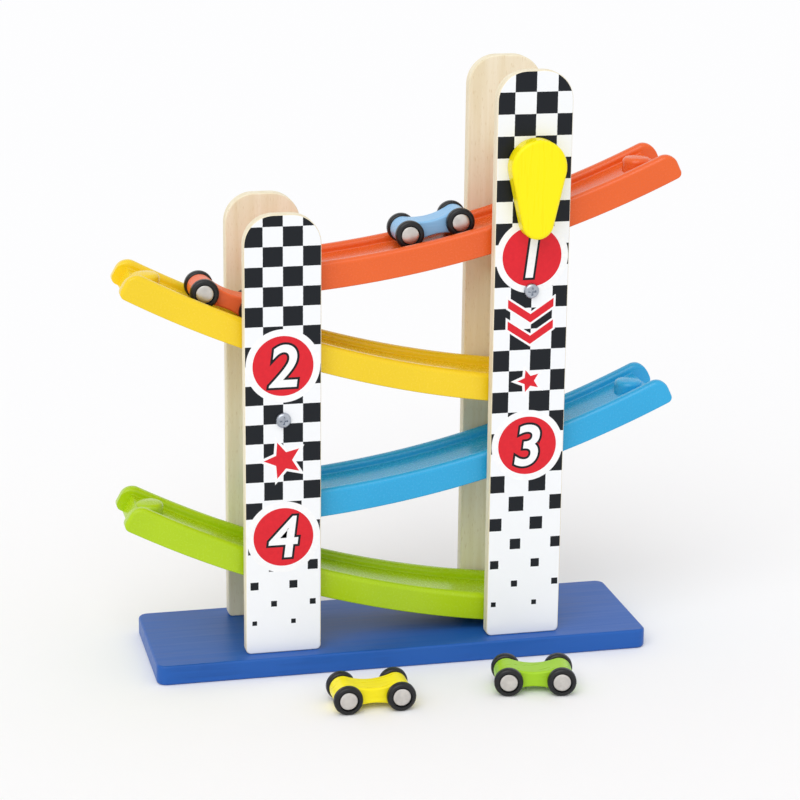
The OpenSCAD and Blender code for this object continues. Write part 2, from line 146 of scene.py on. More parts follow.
class Surface:
    """A node material in the making: its tree, its shader and the piece's own coordinates."""

    def __init__(self, name: str) -> None:
        """Makes the material.

        Args:
            name: name of the material.
        """
        self.material, self.tree, self.shader = fresh_material(name)
        self.place = add_node(self.tree, "ShaderNodeTexCoord").outputs["Object"]

    def noise(self, size_mm: float, detail: float, **more: float) -> bpy.types.NodeSocket:
        """Adds noise in the piece's own coordinates.

        Args:
            size_mm: size of its patches.
            detail: number of finer layers.
            more: other inputs of the noise.

        Returns:
            The noise's value.
        """
        inputs = {"Vector": self.place, "Scale": 1 / (size_mm * MM), "Detail": detail, **more}
        return add_node(self.tree, "ShaderNodeTexNoise", inputs).outputs["Fac"]

    def grain(self, sizes_mm: Sequence[float], detail: float, **more: float) -> bpy.types.NodeSocket:
        """Adds noise that is drawn out along the axes, such as wood grain.

        Args:
            sizes_mm: size of its patches along each axis.
            detail: number of finer layers.
            more: other inputs of the noise.

        Returns:
            The noise's value.
        """
        run = add_node(self.tree, "ShaderNodeMapping",
                       {"Vector": self.place, "Scale": tuple(1 / (s * MM) for s in sizes_mm)})
        inputs = {"Vector": run.outputs["Vector"], "Scale": 1.0, "Detail": detail, **more}
        return add_node(self.tree, "ShaderNodeTexNoise", inputs).outputs["Fac"]

    def calc(self, operation: str, *values) -> bpy.types.NodeSocket:
        """Adds a math node over the given values and gives its output."""
        node = add_node(self.tree, "ShaderNodeMath", dict(enumerate(values)), operation=operation)
        return node.outputs["Value"]

    def ramp(self, value: bpy.types.NodeSocket, low: float, low_colour: Sequence[float],
             high: float, high_colour: Sequence[float]) -> bpy.types.NodeSocket:
        """Colours a value by a ramp with two stops.

        Args:
            value: the value.
            low: place of the first stop.
            low_colour: colour of the first stop.
            high: place of the second stop.
            high_colour: colour of the second stop.

        Returns:
            The ramp's colour.
        """
        node = add_node(self.tree, "ShaderNodeValToRGB", {"Fac": value})
        first, last = node.color_ramp.elements
        first.position = low
        first.color = low_colour
        last.position = high
        last.color = high_colour
        return node.outputs["Color"]

    def mix(self, share: bpy.types.NodeSocket, under, over) -> bpy.types.NodeSocket:
        """Lays one colour over another by a share and gives the result."""
        node = add_node(self.tree, "ShaderNodeMix", {"Factor": share, 6: under, 7: over}, data_type="RGBA")
        return node.outputs[2]

    def span(self, value: bpy.types.NodeSocket, to: tuple[float, float],
             source: tuple[float, float] = (0.0, 1.0)) -> bpy.types.NodeSocket:
        """Maps a value from one span to another and gives the result."""
        node = add_node(self.tree, "ShaderNodeMapRange",
                        {"Value": value, "From Min": source[0], "From Max": source[1],
                         "To Min": to[0], "To Max": to[1]}, clamp=True)
        return node.outputs["Result"]

    def wire(self, name: str, value: bpy.types.NodeSocket) -> None:
        """Feeds a value into an input of the shader."""
        self.tree.links.new(value, self.shader.inputs[name])

    def relief(self, height: bpy.types.NodeSocket, strength: float, depth_mm: float) -> None:
        """Raises the surface a little by a value."""
        bump = add_node(self.tree, "ShaderNodeBump",
                        {"Height": height, "Strength": strength, "Distance": depth_mm * MM})
        self.wire("Normal", bump.outputs["Normal"])

    def coated(self, ior: float = 1.5, specular: float = 0.25) -> bpy.types.Material:
        """Sets how the surface mirrors its surroundings and gives the material."""
        self.shader.inputs["IOR"].default_value = ior
        self.shader.inputs["Specular IOR Level"].default_value = specular
        return self.material


@dataclass(frozen=True)
class MouldedPlastic:
    """Gloss ABS from a polished mould: even colour, a soft sheen and a faint ripple."""

    name: str
    colour: str
    deep: str
    roughness: float = 0.24
    ripple_mm: float = 6.0
    scuff_mm: float = 1.6

    def material(self) -> bpy.types.Material:
        """Builds the material; the ripple bends highlights and the scuffs break them up."""
        surface = Surface(self.name)
        cloud = surface.noise(60, 2.0)
        surface.wire("Base Color", surface.ramp(cloud, 0.35, linear(self.deep), 0.62, linear(self.colour)))
        scuff = surface.noise(self.scuff_mm, 5.0, Roughness=0.6)
        gloss = (self.roughness - 0.06, self.roughness + 0.1)
        surface.wire("Roughness", surface.span(scuff, gloss, (0.3, 0.75)))
        surface.relief(surface.noise(self.ripple_mm, 1.0), 0.05, 0.6)
        return surface.coated(1.53, 0.35)


@dataclass(frozen=True)
class PaintedWood:
    """Lacquer sprayed on sanded wood: solid colour with the grain faintly raised under it."""

    name: str
    colour: str
    deep: str
    roughness: float = 0.36
    grain_mm: tuple[float, float, float] = (60.0, 2.2, 2.2)
    relief: float = 0.12

    def material(self) -> bpy.types.Material:
        """Builds the material; the grain gives long soft ripples in the sheen."""
        surface = Surface(self.name)
        grain = surface.grain(self.grain_mm, 4.0, Roughness=0.55)
        blend = surface.calc("ADD", grain, surface.noise(45, 3.0))
        surface.wire("Base Color", surface.ramp(blend, 0.7, linear(self.deep), 1.0, linear(self.colour)))
        gloss = (self.roughness - 0.05, self.roughness + 0.08)
        surface.wire("Roughness", surface.span(grain, gloss, (0.3, 0.7)))
        surface.relief(grain, self.relief, 0.25)
        return surface.coated()


@dataclass(frozen=True)
class Beech:
    """Clear-coated beech: pale cream with long soft bands and short darker flecks along the grain."""

    name: str
    pale: str = "#f4ebd3"
    warm: str = "#ebdfc0"
    fleck: str = "#d2bb8e"
    grain_mm: tuple[float, float, float] = (5.0, 5.0, 90.0)
    fleck_mm: tuple[float, float, float] = (0.7, 0.7, 5.0)

    def material(self) -> bpy.types.Material:
        """Builds the material; the flecks are drawn a little coarser than real ones so that they show."""
        surface = Surface(self.name)
        bands = surface.grain(self.grain_mm, 3.0, Distortion=0.4)
        base = surface.ramp(bands, 0.34, linear(self.warm), 0.66, linear(self.pale))
        share = surface.span(surface.grain(self.fleck_mm, 1.0), (0.0, 0.5), (0.62, 0.74))
        surface.wire("Base Color", surface.mix(share, base, linear(self.fleck)))
        surface.relief(bands, 0.1, 0.3)
        surface.shader.inputs["Roughness"].default_value = 0.5
        return surface.coated()


@dataclass(frozen=True)
class CheckerPrint:
    """White lacquer with a printed black checker whose squares shrink row by row toward the foot."""

    name: str
    square_mm: float
    middle_mm: float
    row_mm: float
    fade_top_mm: float
    fade_foot_mm: float
    white: str = "#f3f5f8"
    black: str = "#0f141b"
    least: float = 0.12

    def material(self) -> bpy.types.Material:
        """Builds the material; the ink edge wanders by a tenth of a millimetre, as screen print does."""
        surface = Surface(self.name)
        calc = surface.calc
        wander = surface.noise(1.5, 2.0).node.outputs["Color"]
        shift = add_node(surface.tree, "ShaderNodeVectorMath",
                         {0: wander, 1: (0.25 * MM, 0.0, 0.25 * MM)}, operation="MULTIPLY")
        moved = add_node(surface.tree, "ShaderNodeVectorMath",
                         {0: surface.place, 1: shift.outputs["Vector"]}, operation="ADD")
        axes = add_node(surface.tree, "ShaderNodeSeparateXYZ", {"Vector": moved.outputs["Vector"]})
        pitch = self.square_mm * MM
        column = calc("DIVIDE", calc("SUBTRACT", axes.outputs["X"], self.middle_mm * MM), pitch)
        row = calc("DIVIDE", calc("SUBTRACT", axes.outputs["Z"], self.row_mm * MM), pitch)
        odd = calc("FLOORED_MODULO", calc("ADD", calc("FLOOR", column), calc("FLOOR", row)), 2.0)
        across = calc("ABSOLUTE", calc("SUBTRACT", calc("FRACT", column), 0.5))
        along = calc("ABSOLUTE", calc("SUBTRACT", calc("FRACT", row), 0.5))
        level = calc("ADD", calc("MULTIPLY", calc("FLOOR", row), pitch), self.row_mm * MM)
        half = surface.span(level, (self.least, 0.501), (self.fade_foot_mm * MM, self.fade_top_mm * MM))
        inside = calc("LESS_THAN", calc("MAXIMUM", across, along), half)
        shown = calc("GREATER_THAN", level, (self.fade_foot_mm - self.square_mm) * MM)
        ink = calc("MULTIPLY", calc("MULTIPLY", inside, odd), shown)
        surface.wire("Base Color", surface.mix(ink, linear(self.white), linear(self.black)))
        grain = surface.grain((1.6, 1.6, 40), 3.0)
        surface.wire("Roughness", surface.span(grain, (0.32, 0.44), (0.3, 0.7)))
        surface.relief(grain, 0.08, 0.2)
        return surface.coated()


@dataclass(frozen=True)
class PrintInk:
    """Screen print ink on lacquer: solid colour with slight unevenness from the screen."""

    name: str
    colour: str
    deep: str

    def material(self) -> bpy.types.Material:
        """Builds the material; the unevenness is a soft mottle of about two millimetres."""
        surface = Surface(self.name)
        mottle = surface.noise(2.2, 3.0)
        surface.wire("Base Color", surface.ramp(mottle, 0.3, linear(self.deep), 0.7, linear(self.colour)))
        surface.wire("Roughness", surface.span(mottle, (0.3, 0.46)))
        return surface.coated()


@dataclass(frozen=True)
class PlatedSteel:
    """Bright plated steel: pressed smooth, with fine handling scratches that blur its reflections."""

    name: str
    colour: str
    roughness: float = 0.3
    scratch_mm: float = 0.5

    def material(self) -> bpy.types.Material:
        """Builds the material; scratches are drawn coarser than real ones so that they show."""
        surface = Surface(self.name)
        scratch = surface.noise(self.scratch_mm, 4.0)
        gloss = (self.roughness - 0.08, self.roughness + 0.12)
        surface.wire("Roughness", surface.span(scratch, gloss, (0.25, 0.75)))
        full = linear(self.colour)
        dull = tuple(0.82 * c for c in full[:3]) + (1.0,)
        surface.wire("Base Color", surface.ramp(surface.noise(4, 2.0), 0.3, dull, 0.7, full))
        surface.relief(scratch, 0.06, 0.1)
        surface.shader.inputs["Metallic"].default_value = 1.0
        return surface.material


class Finishes:
    """Every finish of the toy, made once and handed to the pieces."""

    def __init__(self) -> None:
        """Makes the materials."""
        self.base = PaintedWood("blue_lacquered_board", "#225cae", "#1f55a3").material()
        self.beech = Beech("clear_coated_beech").material()
        self.lever = PaintedWood("yellow_lacquered_wood", "#fdec00", "#f8e400", 0.28,
                                 (2.4, 2.4, 40.0), 0.06).material()
        self.tracks = {
            "orange": MouldedPlastic("orange_gloss_abs", "#ea6527", "#e66125").material(),
            "yellow": MouldedPlastic("yellow_gloss_abs", "#f4d120", "#efcc1c").material(),
            "blue": MouldedPlastic("blue_gloss_abs", "#2da8dd", "#29a3d8").material(),
            "green": MouldedPlastic("green_gloss_abs", "#b1d20f", "#aacc0b").material(),
        }
        car_paints = {
            "blue": ("#8cc0ea", "#82b7e4"),
            "orange": ("#f0703f", "#e86838"),
            "yellow": ("#fff01a", "#f8e612"),
            "green": ("#a3d325", "#9acb1e"),
        }
        self.cars = {
            name: PaintedWood(f"{name}_car_lacquer", full, deep, 0.3, (20.0, 2.0, 2.0), 0.05).material()
            for name, (full, deep) in car_paints.items()
        }
        self.wheel = MouldedPlastic("black_moulded_wheel", "#17181b", "#101114", 0.36, 3.0, 0.9).material()
        self.pin = PlatedSteel("plated_pin_head", "#d8d4cf", 0.34).material()
        self.screw = PlatedSteel("zinc_screw", "#b4bac4", 0.3).material()
        self.inks = {
            Ink.WHITE: PrintInk("white_ink", "#fafafb", "#f3f4f6").material(),
            Ink.RED: PrintInk("red_ink", "#e0222f", "#d81f2d").material(),
            Ink.BLACK: PrintInk("black_ink", "#0f141b", "#0c1016").material(),
        }
        self.prints = {
            Side.LEFT: CheckerPrint("short_post_print", 11.61, -73.3, 153.3, 112.0, 30.0).material(),
            Side.RIGHT: CheckerPrint("tall_post_print", 12.65, 74.0, 190.2, 122.0, 30.0).material(),
        }


class Pen:
    """Traces a closed flat outline in a bmesh with straight runs and arcs."""

    def __init__(self, bm: bmesh.types.BMesh, start: Vector, axis: Vector) -> None:
        """Starts the outline.

        Args:
            bm: mesh that the outline is drawn in.
            start: first point, in metres.
            axis: axis that arcs turn about.
        """
        self.bm = bm
        self.axis = axis
        self.first = bm.verts.new(start)
        self.tip = self.first

    def line(self, to: Vector) -> "Pen":
        """Draws a straight run to a point."""
        made = bmesh.ops.extrude_vert_indiv(self.bm, verts=[self.tip])
        self.tip = made["verts"][0]
        self.tip.co = to
        return self

    def arc(self, centre: Vector, degrees: float, steps: int) -> "Pen":
        """Turns about a centre by an angle, in a number of steps."""
        made = bmesh.ops.spin(self.bm, geom=[self.tip], cent=centre, axis=self.axis,
                              angle=math.radians(degrees), steps=steps, use_merge=False)
        self.tip = next(g for g in made["geom_last"] if isinstance(g, bmesh.types.BMVert))
        return self

    def close(self) -> bmesh.types.BMFace:
        """Joins the last point to the first and fills the outline."""
        if (self.tip.co - self.first.co).length > FINE_WELD:
            self.bm.edges.new((self.tip, self.first))
        bmesh.ops.remove_doubles(self.bm, verts=self.bm.verts[:], dist=WELD)
        return bmesh.ops.contextual_create(self.bm, geom=self.bm.edges[:])["faces"][0]


def absorb(bm: bmesh.types.BMesh, part: bmesh.types.BMesh) -> None:
    """Moves all of one bmesh into another.

    Args:
        bm: mesh that grows.
        part: mesh that is taken in and freed.
    """
    carried = bpy.data.meshes.new("carried_part")
    part.to_mesh(carried)
    part.free()
    bm.from_mesh(carried)
    bpy.data.meshes.remove(carried)


def close_up(bm: bmesh.types.BMesh, near: float) -> None:
    """Joins points that lie together, fills what is open and turns all faces outward.

    Args:
        bm: mesh to close.
        near: distance in metres within which points are joined.
    """
    bmesh.ops.remove_doubles(bm, verts=bm.verts[:], dist=near)
    bmesh.ops.holes_fill(bm, edges=[e for e in bm.edges if e.is_boundary], sides=0)
    bmesh.ops.recalc_face_normals(bm, faces=bm.faces[:])


def thicken(bm: bmesh.types.BMesh, face: bmesh.types.BMFace, by: Vector, round_mm: float,
            steps: int = 3) -> None:
    """Extrudes a flat outline into a slab and rounds both rims.

    Args:
        bm: mesh that holds the outline.
        face: the outline's face.
        by: direction and depth of the slab.
        round_mm: radius of the rims.
        steps: segments of the rounding.
    """
    made = bmesh.ops.extrude_face_region(bm, geom=[face])
    bmesh.ops.translate(bm, verts=[g for g in made["geom"] if isinstance(g, bmesh.types.BMVert)], vec=by)
    bmesh.ops.recalc_face_normals(bm, faces=bm.faces[:])
    along = by.normalized()
    caps = [f for f in bm.faces if abs(f.normal.dot(along)) > 0.99 and len(f.verts) > 4]
    rims = list({e for f in caps for e in f.edges})
    bmesh.ops.bevel(bm, geom=rims, offset=round_mm * MM, offset_type="OFFSET", segments=steps,
                    profile=0.5, affect="EDGES", material=-1, clamp_overlap=True)


def finish_piece(bm: bmesh.types.BMesh, name: str, materials: Sequence[bpy.types.Material], body: str,
                 nodes: Iterable[str] = (), place: Optional[Matrix] = None,
                 crease: float = 35.0) -> bpy.types.Object:
    """Turns a bmesh into a piece that rides on a body.

    Args:
        bm: mesh of the piece, which is freed.
        name: name of the piece.
        materials: its material slots.
        body: body that it rides on.
        nodes: solids that the piece stands for.
        place: transform put into the mesh.
        crease: angle above which an edge stays sharp, in degrees.

    Returns:
        The new object.
    """
    if place is not None:
        bmesh.ops.transform(bm, matrix=place, verts=bm.verts[:])
    mesh = bpy.data.meshes.new(name)
    bm.to_mesh(mesh)
    bm.free()
    mesh.polygons.foreach_set("use_smooth", [True] * len(mesh.polygons))
    mesh.set_sharp_from_angle(angle=math.radians(crease))
    for material in materials:
        mesh.materials.append(material)
    piece = bpy.data.objects.new(name, mesh)
    bpy.context.scene.collection.objects.link(piece)
    weighted = piece.modifiers.new("even_normals", "WEIGHTED_NORMAL")
    weighted.keep_sharp = True
    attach(piece, body)
    if nodes:
        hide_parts(*nodes)
    log.info("piece %s rides on %s", name, body)
    return piece


def dress_node(name: str, material: bpy.types.Material) -> None:
    """Gives a solid that stays as it is a finished material.

    Args:
        name: name of the solid.
        material: its finish.
    """
    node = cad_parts[name]
    node.data.materials.clear()
    node.data.materials.append(material)
    log.info("solid %s dressed with %s", name, material.name)


@dataclass
class BaseBoard:
    """The lacquered board that everything stands on."""

    length: float = 300.0
    width: float = 90.0
    height: float = 12.0
    corner: float = 6.0
    edge: float = 1.6

    def build(self, finishes: Finishes) -> None:
        """Builds the board with round corners and soft edges."""
        bm = bmesh.new()
        x = self.length / 2 * MM
        y = self.width / 2 * MM
        r = self.corner * MM
        pen = Pen(bm, Vector((x, -y + r, 0)), Vector((0, 0, 1)))
        for cx, cy in ((x, y), (-x, y), (-x, -y), (x, -y)):
            sx = math.copysign(1, cx)
            sy = math.copysign(1, cy)
            if sx == sy:
                pen.line(Vector((cx, cy - sy * r, 0)))
            else:
                pen.line(Vector((cx - sx * r, cy, 0)))
            pen.arc(Vector((cx - sx * r, cy - sy * r, 0)), 90, 8)
        face = pen.close()
        thicken(bm, face, Vector((0, 0, self.height * MM)), self.edge)
        finish_piece(bm, "lacquered_base_board", [finishes.base], "frame", ["base_board"])
        dress_node("base_screws", finishes.screw)


@dataclass
class Roundel:
    """A printed number disc: white ring, red field and a white number with a black edge."""

    digit: str
    side: Side
    level: float
    radius: float = 21.8
    field_radius: float = 17.8
    height: float = 26.0
    film: float = PRINT_FILM


@dataclass
class Posts:
    """The four upright boards with their print, spacers and tie screws."""

    width: float = 45.0
    thickness: float = 8.0
    middle: float = POST_X
    inner: float = POST_INNER
    base_top: float = 12.0
    heights: dict = field(default_factory=lambda: {Side.LEFT: 264.0, Side.RIGHT: 342.0})
    top_corner: float = 17.5
    foot_corner: float = 3.0
    edge: float = 0.9
    roundels: tuple = (
        Roundel("1", Side.RIGHT, 245.9), Roundel("2", Side.LEFT, 187.7),
        Roundel("3", Side.RIGHT, 131.3), Roundel("4", Side.LEFT, 84.1))

    @property
    def face(self) -> float:
        """Place of the printed faces, in metres."""
        return -(self.inner + self.thickness) * MM

    def on_face(self, side: Side, level: float) -> Matrix:
        """Transform that stands a flat drawing upright on a front post.

        Args:
            side: left or right post.
            level: height of the drawing's middle, in millimetres.

        Returns:
            The transform from the drawing's plane to the post's face.
        """
        return Matrix.Translation(Vector((side.value * self.middle * MM, self.face, level * MM))) @ UPRIGHT

    def build(self, finishes: Finishes) -> None:
        """Builds the posts, prints the front ones and dresses the fittings."""
        names = {Side.LEFT: "short", Side.RIGHT: "tall"}
        for side, word in names.items():
            for rank in Rank:
                self.build_post(side, rank, word, finishes)
            dress_node(f"spacer_{word}", finishes.beech)
        for roundel in self.roundels:
            self.build_roundel(roundel, finishes)
        self.build_star(Side.LEFT, 131.0, 15.5, finishes)
        self.build_star(Side.RIGHT, 171.0, 11.0, finishes)
        self.build_chevrons(Side.RIGHT, (212.0, 199.0), finishes)
        dress_node("tie_screws_front", finishes.screw)
        dress_node("tie_screws_back", finishes.screw)

    def build_post(self, side: Side, rank: Rank, word: str, finishes: Finishes) -> None:
        """Builds one post.

        Args:
            side: left or right pair.
            rank: front or back row.
            word: the pair's name.
            finishes: the toy's materials.
        """
        bm = bmesh.new()
        w = self.width / 2 * MM
        low = self.base_top * MM
        top = low + self.heights[side] * MM
        t = self.top_corner * MM
        f = self.foot_corner * MM
        x = side.value * self.middle * MM
        y = self.face if rank is Rank.FRONT else self.inner * MM
        pen = Pen(bm, Vector((x + w, y, low + f)), Vector((0, -1, 0)))
        pen.line(Vector((x + w, y, top - t))).arc(Vector((x + w - t, y, top - t)), 90, 14)
        pen.line(Vector((x - w + t, y, top))).arc(Vector((x - w + t, y, top - t)), 90, 14)
        pen.line(Vector((x - w, y, low + f))).arc(Vector((x - w + f, y, low + f)), 90, 5)
        pen.line(Vector((x + w - f, y, low))).arc(Vector((x + w - f, y, low + f)), 90, 5)
        thicken(bm, pen.close(), Vector((0, self.thickness * MM, 0)), self.edge)
        materials = [finishes.beech]
        if rank is Rank.FRONT:
            materials.append(finishes.prints[side])
            for face in bm.faces:
                if face.normal.y < -0.95:
                    face.material_index = 1
        node = f"post_{word}_{rank.name.lower()}"
        finish_piece(bm, f"{word}_{rank.name.lower()}_post_board", materials, "frame", [node])

    def print_film(self, bm: bmesh.types.BMesh, faces: Sequence[bmesh.types.BMFace], film: float) -> None:
        """Gives flat print on the post's face its thickness, toward the viewer.

        Args:
            bm: mesh of the print, drawn on the plane of the post's face.
            faces: the print's faces.
            film: thickness in millimetres.
        """
        made = bmesh.ops.extrude_face_region(bm, geom=list(faces))
        verts = [g for g in made["geom"] if isinstance(g, bmesh.types.BMVert)]
        bmesh.ops.translate(bm, verts=verts, vec=Vector((0, -film * MM, 0)))
        bmesh.ops.recalc_face_normals(bm, faces=bm.faces[:])

    def ink_border(self, bm: bmesh.types.BMesh, border: float) -> None:
        """Splits a flat outline into a red field and a white border.

        Args:
            bm: mesh that holds the outline's one face.
            border: width of the border in millimetres.
        """
        bmesh.ops.inset_region(bm, faces=bm.faces[:], thickness=border * MM, use_even_offset=True,
                               use_boundary=True)
        for face in bm.faces:
            face.material_index = Ink.RED.value if len(face.verts) > 4 else Ink.WHITE.value

    def draw_digit(self, bm: bmesh.types.BMesh, roundel: Roundel, bold: float, film: float, ink: Ink) -> None:
        """Draws a roundel's digit on the print.

        Args:
            bm: mesh of the print.
            roundel: the number disc.
            bold: how much wider than the plain figure, in millimetres.
            film: thickness in millimetres.
            ink: colour of the figure.
        """
        curve = bpy.data.curves.new("digit_outline", "FONT")
        curve.body = roundel.digit
        curve.align_x = "CENTER"
        curve.align_y = "CENTER"
        curve.size = roundel.height * 1.35 * MM
        curve.offset = bold * MM
        curve.shear = 0.12
        curve.resolution_u = 8
        holder = bpy.data.objects.new("digit_outline", curve)
        bpy.context.scene.collection.objects.link(holder)
        bpy.context.view_layer.update()
        flat = bpy.data.meshes.new_from_object(holder.evaluated_get(bpy.context.evaluated_depsgraph_get()))
        bpy.data.objects.remove(holder)
        part = bmesh.new()
        part.from_mesh(flat)
        bpy.data.meshes.remove(flat)
        bmesh.ops.remove_doubles(part, verts=part.verts[:], dist=FINE_WELD)
        xs = [v.co.x for v in part.verts]
        ys = [v.co.y for v in part.verts]
        middle = Vector(((min(xs) + max(xs)) / 2, (min(ys) + max(ys)) / 2, 0))
        bmesh.ops.translate(part, verts=part.verts[:], vec=-middle)
        bmesh.ops.transform(part, matrix=self.on_face(roundel.side, roundel.level), verts=part.verts[:])
        self.print_film(part, part.faces[:], film)
        for face in part.faces:
            face.material_index = ink.value
        absorb(bm, part)

    def build_roundel(self, roundel: Roundel, finishes: Finishes) -> None:
        """Builds one number disc on its post.

        Args:
            roundel: the number disc.
            finishes: the toy's materials.
        """
        bm = bmesh.new()
        bmesh.ops.create_circle(bm, cap_ends=True, segments=96, radius=roundel.radius * MM,
                                matrix=self.on_face(roundel.side, roundel.level))
        self.ink_border(bm, roundel.radius - roundel.field_radius)
        self.print_film(bm, bm.faces[:], roundel.film)
        edge_bold = 1.9
        figure_bold = 0.55
        self.draw_digit(bm, roundel, edge_bold, roundel.film * 1.6, Ink.BLACK)
        self.draw_digit(bm, roundel, figure_bold, roundel.film * 2.2, Ink.WHITE)
        inks = [finishes.inks[ink] for ink in Ink]
        finish_piece(bm, f"number_disc_{roundel.digit}", inks, "frame")

    def build_star(self, side: Side, level: float, radius: float, finishes: Finishes) -> None:
        """Prints a plain five-pointed star with a white edge.

        Args:
            side: left or right post.
            level: height of its middle, in millimetres.
            radius: reach of its points, in millimetres.
            finishes: the toy's materials.
        """
        bm = bmesh.new()
        bmesh.ops.create_circle(bm, cap_ends=True, segments=10, radius=radius * MM,
                                matrix=Matrix.Rotation(math.pi / 2, 4, "Z"))
        bm.verts.ensure_lookup_table()
        inner = [v for i, v in enumerate(bm.verts) if i % 2]
        bmesh.ops.scale(bm, vec=(0.45, 0.45, 1), verts=inner)
        self.ink_border(bm, 1.5)
        bmesh.ops.transform(bm, matrix=self.on_face(side, level), verts=bm.verts[:])
        self.print_film(bm, bm.faces[:], PRINT_FILM)
        inks = [finishes.inks[ink] for ink in Ink]
        finish_piece(bm, f"printed_star_{side.name.lower()}", inks, "frame")

    def build_chevrons(self, side: Side, levels: Sequence[float], finishes: Finishes) -> None:
        """Prints plain red chevrons that point down the post.

        Args:
            side: left or right post.
            levels: height of each chevron's point, in millimetres.
            finishes: the toy's materials.
        """
        bm = bmesh.new()
        x = side.value * self.middle * MM
        for level in levels:
            part = bmesh.new()
            z = level * MM
            pen = Pen(part, Vector((x, self.face, z - 7 * MM)), Vector((0, -1, 0)))
            for dx, dz in ((15, 3), (15, 11), (0, 1), (-15, 11), (-15, 3)):
                pen.line(Vector((x + dx * MM, self.face, z + dz * MM)))
            pen.close()
            self.ink_border(part, 1.2)
            self.print_film(part, part.faces[:], PRINT_FILM)
            absorb(bm, part)
        inks = [finishes.inks[ink] for ink in Ink]
        finish_piece(bm, f"printed_chevrons_{side.name.lower()}", inks, "frame")


